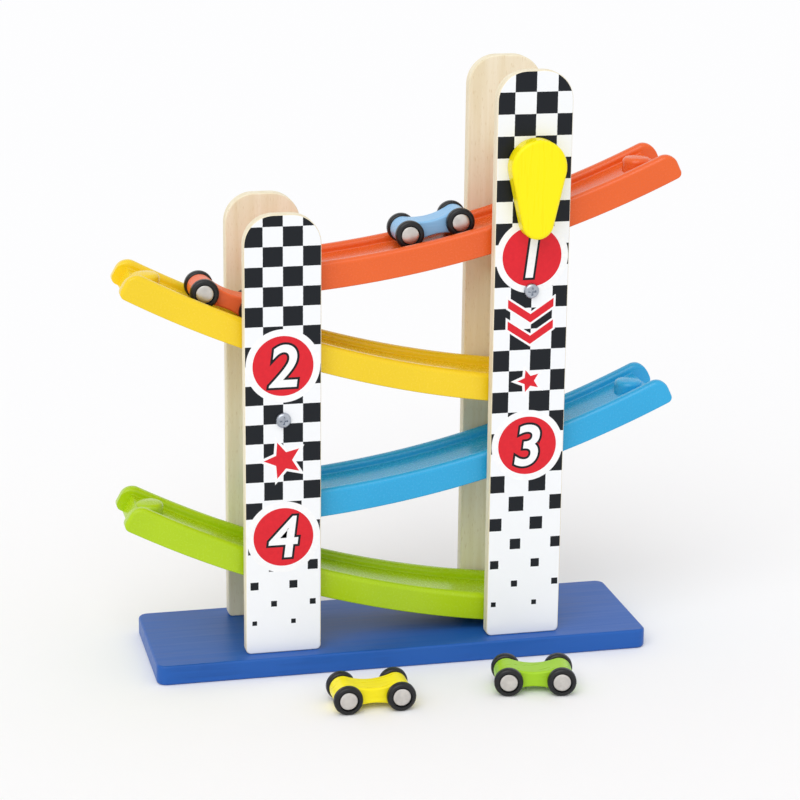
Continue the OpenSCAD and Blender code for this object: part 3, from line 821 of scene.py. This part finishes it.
@dataclass
class Track:
    """One curved plastic track with its channel, hollow underside, stop nub and shoulders."""

    colour: str
    high: Side
    low_z: float
    rise: float
    tip: float
    radius: float = 635.0
    width: float = 48.0
    height: float = 16.5
    rail: float = 7.0
    rail_round: float = 3.0
    channel: float = 5.0
    floor: float = 2.5
    skin: float = 2.0
    rib: float = 3.0
    low_end: float = 80.0
    top_corner: float = 8.0
    low_corner: float = 4.0
    side_corner: float = 2.2
    end_wall: float = 5.0
    post_x: float = POST_X
    post_in: float = POST_INNER
    shoulder: float = 10.0
    floor_end: float = 157.2
    nub_x: float = 147.5
    nub_d: float = 17.0
    nub_h: float = 5.0

    @property
    def middle(self) -> tuple[float, float]:
        """Middle of the curve, as distance and height, for a track that is high at the right."""
        half = math.hypot(self.post_x, self.rise / 2)
        reach = math.sqrt(self.radius ** 2 - half ** 2)
        return (-self.rise / 2 / half * reach, self.low_z + self.rise / 2 + self.post_x / half * reach)

    def turn(self, x: float, radius: float) -> float:
        """Angle from straight down of the point at a distance on a radius, in radians."""
        return math.asin((x - self.middle[0]) / radius)

    def level(self, x: float, radius: float) -> float:
        """Height of the point at a distance on a radius."""
        return self.middle[1] - math.sqrt(radius ** 2 - (x - self.middle[0]) ** 2)

    def draw_section(self, bm: bmesh.types.BMesh, cut: Cut) -> None:
        """Draws the closed section at the bottom of the curve, across Y and up Z from the underside.

        Args:
            bm: mesh that the section is drawn in.
            cut: which of the track's sections.
        """
        half = self.width / 2
        edge = self.channel_half
        top = self.height
        r = self.rail_round
        low = 0.8
        fillet = 1.0
        floor = top - self.channel
        slot = top - r - self.skin
        roof = floor - self.floor

        def at(y: float, h: float) -> Vector:
            """Point of the section in metres."""
            return Vector((0, y * MM, h * MM))

        def rail_top(pen: Pen, first: float, second: float, middle: float) -> None:
            """Draws over a rail from one side to the other, with both of its edges round."""
            pen.line(at(first, top - r)).arc(at(first + math.copysign(r, middle - first), top - r), 90, 8)
            turn = second + math.copysign(r, middle - second)
            pen.line(at(turn, top)).arc(at(turn, top - r), 90, 8)

        def underside(pen: Pen, marks: Sequence[tuple[float, float, float]]) -> None:
            """Draws along the underside, and around each hollow where this section has them."""
            for near, far, deep in marks:
                pen.line(at(near, 0))
                if cut is Cut.HOLLOW:
                    pen.line(at(near, deep)).line(at(far, deep))
                pen.line(at(far, 0))

        axis = Vector((1, 0, 0))
        slots = ((-half + self.skin, -edge - self.skin, slot), (edge + self.skin, half - self.skin, slot))
        pockets = ((-edge, -self.rib / 2, roof), (self.rib / 2, edge, roof))
        if cut is Cut.RAILS:
            right = Pen(bm, at(half, low), axis)
            rail_top(right, half, edge, half - self.rail / 2)
            right.line(at(edge, floor + fillet)).line(at(edge, 0))
            underside(right, slots[1:])
            right.line(at(half - low, 0)).arc(at(half - low, low), 90, 4)
            left = Pen(bm, at(-edge, 0), axis)
            left.line(at(-edge, floor + fillet))
            rail_top(left, -edge, -half, -half + self.rail / 2)
            left.line(at(-half, low)).arc(at(-half + low, low), 90, 4)
            underside(left, slots[:1])
            left.line(at(-edge, 0))
        else:
            pen = Pen(bm, at(half, low), axis)
            rail_top(pen, half, edge, half - self.rail / 2)
            pen.line(at(edge, floor + fillet)).arc(at(edge - fillet, floor + fillet), -90, 4)
            pen.line(at(-edge + fillet, floor)).arc(at(-edge + fillet, floor + fillet), -90, 4)
            rail_top(pen, -edge, -half, -half + self.rail / 2)
            pen.line(at(-half, low)).arc(at(-half + low, low), 90, 4)
            underside(pen, (slots[0], *pockets, slots[1]))
            pen.line(at(half - low, 0)).arc(at(half - low, low), 90, 4)
        bmesh.ops.remove_doubles(bm, verts=bm.verts[:], dist=WELD)

    @property
    def channel_half(self) -> float:
        """Half the width of the running channel."""
        return self.width / 2 - self.rail

    def swept(self, runs: Sequence[tuple[Cut, float, float, int]]) -> bmesh.types.BMesh:
        """Spins the track's sections along the curve, run after run, and closes what is left open.

        Args:
            runs: section, first angle and last angle in radians, and number of steps of each run.

        Returns:
            A closed bmesh about the curve's middle.
        """
        whole = bmesh.new()
        for cut, start, stop, steps in runs:
            bm = bmesh.new()
            self.draw_section(bm, cut)
            bmesh.ops.translate(bm, verts=bm.verts[:], vec=Vector((0, 0, -self.radius * MM)))
            bmesh.ops.rotate(bm, verts=bm.verts[:], cent=(0, 0, 0), matrix=Matrix.Rotation(-start, 3, "Y"))
            bmesh.ops.spin(bm, geom=bm.verts[:] + bm.edges[:], cent=(0, 0, 0), axis=(0, -1, 0),
                           angle=stop - start, steps=steps, use_merge=False)
            absorb(whole, bm)
        close_up(whole, SEAM_WELD)
        return whole

    def round_ends(self, bm: bmesh.types.BMesh, start: float, stop: float) -> None:
        """Draws the section in toward both ends, so that the ends are round when seen from the side.

        Args:
            bm: swept mesh about the curve's middle.
            start: first angle in radians.
            stop: last angle in radians.
        """
        def cut(corner: float, away: float) -> float:
            """Loss of height at a distance from an end, for a round corner."""
            if away >= corner:
                return 0.0
            return corner - math.sqrt(max(corner ** 2 - (corner - away) ** 2, 0.0))

        for vert in bm.verts:
            angle = math.atan2(vert.co.x, -vert.co.z)
            depth = math.hypot(vert.co.x, vert.co.z) / MM
            height = self.radius - depth
            to_high = max((stop - angle) * self.radius, 0.0)
            to_low = max((angle - start) * self.radius, 0.0)
            top = self.height - cut(self.top_corner, to_high) - cut(self.low_corner, to_low)
            foot = cut(self.low_corner, to_high) + cut(self.low_corner, to_low)
            moved = foot + height / self.height * (top - foot)
            share = (self.radius - moved) / depth
            vert.co.x *= share
            vert.co.z *= share
            ridge = (self.width - self.rail) / 2 * MM
            past = abs(vert.co.y) - ridge
            if past > 0:
                kept = 1 - cut(self.side_corner, min(to_high, to_low)) / (self.rail / 2)
                vert.co.y = math.copysign(ridge + past * kept, vert.co.y)

    def add_nub(self, bm: bmesh.types.BMesh) -> None:
        """Adds the round stop nub with a domed top, standing upright in the channel."""
        part = bmesh.new()
        r = self.nub_d / 2 * MM
        top = self.nub_h * MM
        edge = 3.0 * MM
        dome = 0.5 * MM
        sunk = 6.5 * MM
        pen = Pen(part, Vector((r, 0, -sunk)), Vector((0, -1, 0)))
        pen.line(Vector((r, 0, top - edge))).arc(Vector((r - edge, 0, top - edge)), 80, 8)
        pen.line(Vector((r * 0.3, 0, top + dome))).line(Vector((0, 0, top + dome)))
        bmesh.ops.spin(part, geom=part.verts[:] + part.edges[:], cent=(0, 0, 0), axis=(0, 0, 1),
                       angle=2 * math.pi, steps=48, use_merge=True)
        close_up(part, WELD)
        x = self.nub_x
        level = self.level(x, self.radius - self.height + self.channel)
        bmesh.ops.translate(part, verts=part.verts[:], vec=Vector((x * MM, 0, level * MM)))
        absorb(bm, part)

    def add_shoulders(self, bm: bmesh.types.BMesh) -> None:
        """Adds the four shoulders that stand between the track and the posts."""
        long = self.post_in - self.width / 2
        for post in (-self.post_x, self.post_x):
            level = self.level(post, self.radius - self.height / 2)
            for face in (-1, 1):
                y = face * (self.width / 2 + long / 2)
                place = Matrix.Translation(Vector((post * MM, y * MM, level * MM)))
                made = bmesh.ops.create_cone(bm, cap_ends=True, segments=40, radius1=self.shoulder / 2 * MM,
                                             radius2=self.shoulder / 2 * MM, depth=(long + 1) * MM,
                                             matrix=place @ UPRIGHT)
                bmesh.ops.translate(bm, verts=made["verts"], vec=Vector((0, -face * 0.5 * MM, 0)))

    def build(self, finishes: Finishes) -> None:
        """Builds the track."""
        mid = self.middle
        half = self.radius - self.height / 2
        start = self.turn(-self.low_end, half)
        stop = self.turn(self.tip, half)
        wall = self.end_wall / self.radius
        open_at = self.turn(self.floor_end, half)
        round_at = stop - self.top_corner / self.radius
        corner_at = start + self.low_corner / self.radius
        steps = [(Cut.SOLID, start, corner_at, 14), (Cut.SOLID, corner_at, start + wall, 1),
                 (Cut.HOLLOW, start + wall, open_at - wall, 150)]
        if round_at > open_at:
            steps += [(Cut.SOLID, open_at - wall, open_at, 3), (Cut.RAILS, open_at, round_at, 1),
                      (Cut.RAILS, round_at, stop, 28)]
        else:
            steps += [(Cut.SOLID, open_at - wall, round_at, 2), (Cut.SOLID, round_at, open_at, 12),
                      (Cut.RAILS, open_at, stop, 20)]
        bm = self.swept(steps)
        self.round_ends(bm, start, stop)
        bmesh.ops.translate(bm, verts=bm.verts[:], vec=Vector((mid[0] * MM, 0, mid[1] * MM)))
        self.add_nub(bm)
        self.add_shoulders(bm)
        if self.high is Side.LEFT:
            bmesh.ops.scale(bm, vec=(-1, 1, 1), verts=bm.verts[:])
            bmesh.ops.reverse_faces(bm, faces=bm.faces[:])
        finish_piece(bm, f"{self.colour}_moulded_track", [finishes.tracks[self.colour]], "frame",
                     [f"track_{self.colour}"])


@dataclass
class StartLever:
    """The teardrop lever with its shaft and hidden gate."""

    x: float = POST_X
    z: float = 299.5
    back: float = -36.4
    thickness: float = 12.0
    wide: float = 16.5
    narrow: float = 9.5
    reach: float = 32.0
    edge: float = 2.2

    def build(self, finishes: Finishes) -> None:
        """Builds the lever and dresses the shaft and gate."""
        bm = bmesh.new()
        lean = math.asin((self.wide - self.narrow) / self.reach)
        top = Vector((self.x * MM, self.back * MM, self.z * MM))
        foot = top - Vector((0, 0, self.reach * MM))
        side = Vector((math.cos(lean), 0, -math.sin(lean)))
        other = Vector((-math.cos(lean), 0, -math.sin(lean)))
        pen = Pen(bm, top + side * self.wide * MM, Vector((0, -1, 0)))
        pen.arc(top, 180 + 2 * math.degrees(lean), 40)
        pen.line(foot + other * self.narrow * MM)
        pen.arc(foot, 180 - 2 * math.degrees(lean), 24)
        thicken(bm, pen.close(), Vector((0, -self.thickness * MM, 0)), self.edge, 5)
        finish_piece(bm, "teardrop_start_lever", [finishes.lever], "starter", ["start_lever"])
        dress_node("lever_shaft", finishes.beech)
        dress_node("start_gate", finishes.beech)


@dataclass
class Car:
    """A small wooden car: waisted body, black wheels and plated pins."""

    colour: str
    place: Matrix
    wheelbase: float = WHEELBASE
    width: float = 16.6
    lobe: float = 7.3
    waist: float = 9.0
    edge: float = 1.3
    head: float = 10.4
    head_y: float = 12.7
    head_t: float = 1.0
    pin: float = 2.5
    pin_in: float = 7.0

    def build(self, finishes: Finishes) -> None:
        """Builds the body and the pins and dresses the wheels."""
        self.build_body(finishes)
        self.build_pins(finishes)
        for corner in ("lf", "rf", "lb", "rb"):
            dress_node(f"{self.colour}_car_wheel_{corner}", finishes.wheel)

    def build_body(self, finishes: Finishes) -> None:
        """Builds the body from two round ends and two hollow flanks."""
        bm = bmesh.new()
        a = self.wheelbase / 2
        w = self.waist / 2
        flank = (a * a + w * w - self.lobe ** 2) / (2 * (self.lobe - w))
        lean = math.degrees(math.atan2(w + flank, a))
        y = -self.width / 2 * MM
        right = Vector((a * MM, y, 0))
        left = Vector((-a * MM, y, 0))
        over = Vector((0, y, (w + flank) * MM))
        under = Vector((0, y, -(w + flank) * MM))
        outward = Matrix.Rotation(math.radians(180 - lean), 3, "Y") @ Vector((self.lobe * MM, 0, 0))
        pen = Pen(bm, right + outward, Vector((0, -1, 0)))
        pen.arc(right, 2 * (180 - lean), 28)
        pen.arc(over, -2 * (90 - lean), 24)
        pen.arc(left, 2 * (180 - lean), 28)
        pen.arc(under, -2 * (90 - lean), 24)
        thicken(bm, pen.close(), Vector((0, self.width * MM, 0)), self.edge, 4)
        finish_piece(bm, f"{self.colour}_car_shell", [finishes.cars[self.colour]], f"{self.colour}_car",
                     [f"{self.colour}_car_body"], self.place)

    def build_pins(self, finishes: Finishes) -> None:
        """Builds the four pins, each with a low domed head."""
        bm = bmesh.new()
        for s in (-1, 1):
            for turn in (0, math.pi):
                part = bmesh.new()
                r = self.head / 2
                base = self.head_y
                top = base + self.head_t
                inside = self.width / 2 - self.pin_in
                pen = Pen(part, Vector((0, 0, inside * MM)), Vector((0, -1, 0)))
                profile = ((self.pin / 2, inside), (self.pin / 2, base), (r - 0.3, base), (r, base + 0.25),
                           (r, base + 0.4), (r - 0.25, base + 0.66), (r * 0.7, top - 0.1), (0, top))
                for out, along in profile:
                    pen.line(Vector((out * MM, 0, along * MM)))
                bmesh.ops.spin(part, geom=part.verts[:] + part.edges[:], cent=(0, 0, 0), axis=(0, 0, 1),
                               angle=2 * math.pi, steps=40, use_merge=True)
                bmesh.ops.remove_doubles(part, verts=part.verts[:], dist=FINE_WELD)
                bmesh.ops.recalc_face_normals(part, faces=part.faces[:])
                put = (Matrix.Translation(Vector((s * self.wheelbase / 2 * MM, 0, 0)))
                       @ Matrix.Rotation(turn, 4, "Z") @ UPRIGHT)
                bmesh.ops.transform(part, matrix=put, verts=part.verts[:])
                absorb(bm, part)
        finish_piece(bm, f"{self.colour}_car_domed_pins", [finishes.pin], f"{self.colour}_car",
                     [f"{self.colour}_car_pins"], self.place, 50.0)


def ground_place(x: float, y: float, turn: float, wheel: float = WHEEL) -> Matrix:
    """Place of a car that stands on the ground.

    Args:
        x: distance from the middle in millimetres.
        y: distance from the base's middle line in millimetres.
        turn: heading in degrees.
        wheel: wheel diameter in millimetres.

    Returns:
        The transform of the car.
    """
    return (Matrix.Translation(Vector((x * MM, y * MM, wheel / 2 * MM)))
            @ Matrix.Rotation(math.radians(turn), 4, "Z"))


def track_place(track: Track, x: float, wheel: float = WHEEL, wheelbase: float = WHEELBASE,
                gap: float = 0.3) -> Matrix:
    """Place of a car that rides on a track.

    Args:
        track: the track under it.
        x: distance from the middle, toward the track's high end, in millimetres.
        wheel: wheel diameter in millimetres.
        wheelbase: distance between its axles in millimetres.
        gap: gap under the wheels in millimetres.

    Returns:
        The transform of the car.
    """
    ride = track.radius - track.height + track.channel - gap - wheel / 2
    reach = math.sqrt(ride ** 2 - wheelbase ** 2 / 4)
    mid = track.middle
    sign = track.high.value
    turn = -sign * track.turn(x, reach)
    return (Matrix.Translation(Vector((sign * mid[0] * MM, 0, mid[1] * MM)))
            @ Matrix.Rotation(turn, 4, "Y") @ Matrix.Translation(Vector((0, 0, -reach * MM))))


@dataclass
class Studio:
    """Floor, light and camera."""

    camera_at: tuple[float, float, float] = (-322.69, -1364.55, 554.83)
    yaw: float = 0.2352
    pitch: float = 0.2789
    roll: float = 0.0112
    lens: float = 109.8

    def build(self) -> None:
        """Builds the whole studio."""
        self.build_camera()
        self.build_floor()
        self.build_world()
        self.build_sun("key_light", (-0.45, -0.8, 1.0), 1.2, 50.0)
        scene = bpy.context.scene
        scene.view_settings.view_transform = "Standard"

    def build_camera(self) -> None:
        """Places the camera as the photograph was taken."""
        ahead = Vector((math.sin(self.yaw) * math.cos(self.pitch), math.cos(self.yaw) * math.cos(self.pitch),
                        -math.sin(self.pitch)))
        level = Vector((math.cos(self.yaw), -math.sin(self.yaw), 0))
        above = level.cross(ahead)
        c, s = math.cos(self.roll), math.sin(self.roll)
        right = c * level + s * above
        up = c * above - s * level
        data = bpy.data.cameras.new("photo_camera")
        data.sensor_width = 36.0
        data.lens = self.lens
        data.clip_start = 0.05
        camera = bpy.data.objects.new("photo_camera", data)
        basis = Matrix((right, up, -ahead)).transposed().to_4x4()
        camera.matrix_world = Matrix.Translation(Vector(self.camera_at) * MM) @ basis
        bpy.context.scene.collection.objects.link(camera)
        bpy.context.scene.camera = camera

    def build_floor(self) -> None:
        """Lays a wide pale floor."""
        bm = bmesh.new()
        bmesh.ops.create_grid(bm, x_segments=1, y_segments=1, size=6.0)
        mesh = bpy.data.meshes.new("pale_floor")
        bm.to_mesh(mesh)
        bm.free()
        floor = bpy.data.objects.new("pale_floor", mesh)
        bpy.context.scene.collection.objects.link(floor)
        material, _, shader = fresh_material("pale_paper")
        shader.inputs["Base Color"].default_value = linear("#fbfbfc")
        shader.inputs["Roughness"].default_value = 0.9
        shader.inputs["Specular IOR Level"].default_value = 0.0
        mesh.materials.append(material)

    def build_world(self) -> None:
        """Lights the scene evenly and shows white behind the floor."""
        world = bpy.data.worlds.new("white_room")
        bpy.context.scene.world = world
        world.use_nodes = True
        tree = world.node_tree
        tree.nodes.clear()
        path = add_node(tree, "ShaderNodeLightPath")
        seen = add_node(tree, "ShaderNodeMath",
                        {0: path.outputs["Is Camera Ray"], 1: path.outputs["Is Glossy Ray"]},
                        operation="MAXIMUM")
        through = add_node(tree, "ShaderNodeMath",
                           {0: seen.outputs["Value"], 1: path.outputs["Is Transmission Ray"]},
                           operation="MAXIMUM")
        soft = add_node(tree, "ShaderNodeBackground", {"Color": (1, 1, 1, 1), "Strength": 0.74})
        white = add_node(tree, "ShaderNodeBackground", {"Color": (1, 1, 1, 1), "Strength": 1.0})
        mix = add_node(tree, "ShaderNodeMixShader",
                       {0: through.outputs["Value"], 1: soft.outputs["Background"],
                        2: white.outputs["Background"]})
        add_node(tree, "ShaderNodeOutputWorld", {"Surface": mix.outputs["Shader"]})

    def build_sun(self, name: str, source: tuple[float, float, float], strength: float,
                  spread: float) -> None:
        """Hangs a soft distant light that lights near and far ground alike.

        Args:
            name: name of the light.
            source: direction that it comes from.
            strength: its strength in watts per square metre.
            spread: how wide it looks, in degrees.
        """
        data = bpy.data.lights.new(name, "SUN")
        data.energy = strength
        data.angle = math.radians(spread)
        lamp = bpy.data.objects.new(name, data)
        lamp.matrix_world = Vector(source).to_track_quat("Z", "Y").to_matrix().to_4x4()
        bpy.context.scene.collection.objects.link(lamp)


def main() -> None:
    """Builds the toy and its studio."""
    logging.basicConfig(level=logging.INFO, format="%(name)s: %(message)s")
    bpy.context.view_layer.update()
    finishes = Finishes()
    tracks = {
        "orange": Track("orange", Side.RIGHT, 226.3, 25.0, 165.5),
        "yellow": Track("yellow", Side.LEFT, 153.8, 33.8, 162.0),
        "blue": Track("blue", Side.RIGHT, 88.9, 25.0, 165.5),
        "green": Track("green", Side.LEFT, 15.3, 33.8, 162.0),
    }
    cars = (
        Car("blue", track_place(tracks["orange"], 21.5)),
        Car("orange", track_place(tracks["yellow"], 100.5)),
        Car("yellow", ground_place(-34.0, -96.0, -0.6)),
        Car("green", ground_place(64.5, -91.5, -10.8)),
    )
    Studio().build()
    for part in (BaseBoard(), Posts(), *tracks.values(), StartLever(), *cars):
        part.build(finishes)


if __name__ == "__main__":
    main()
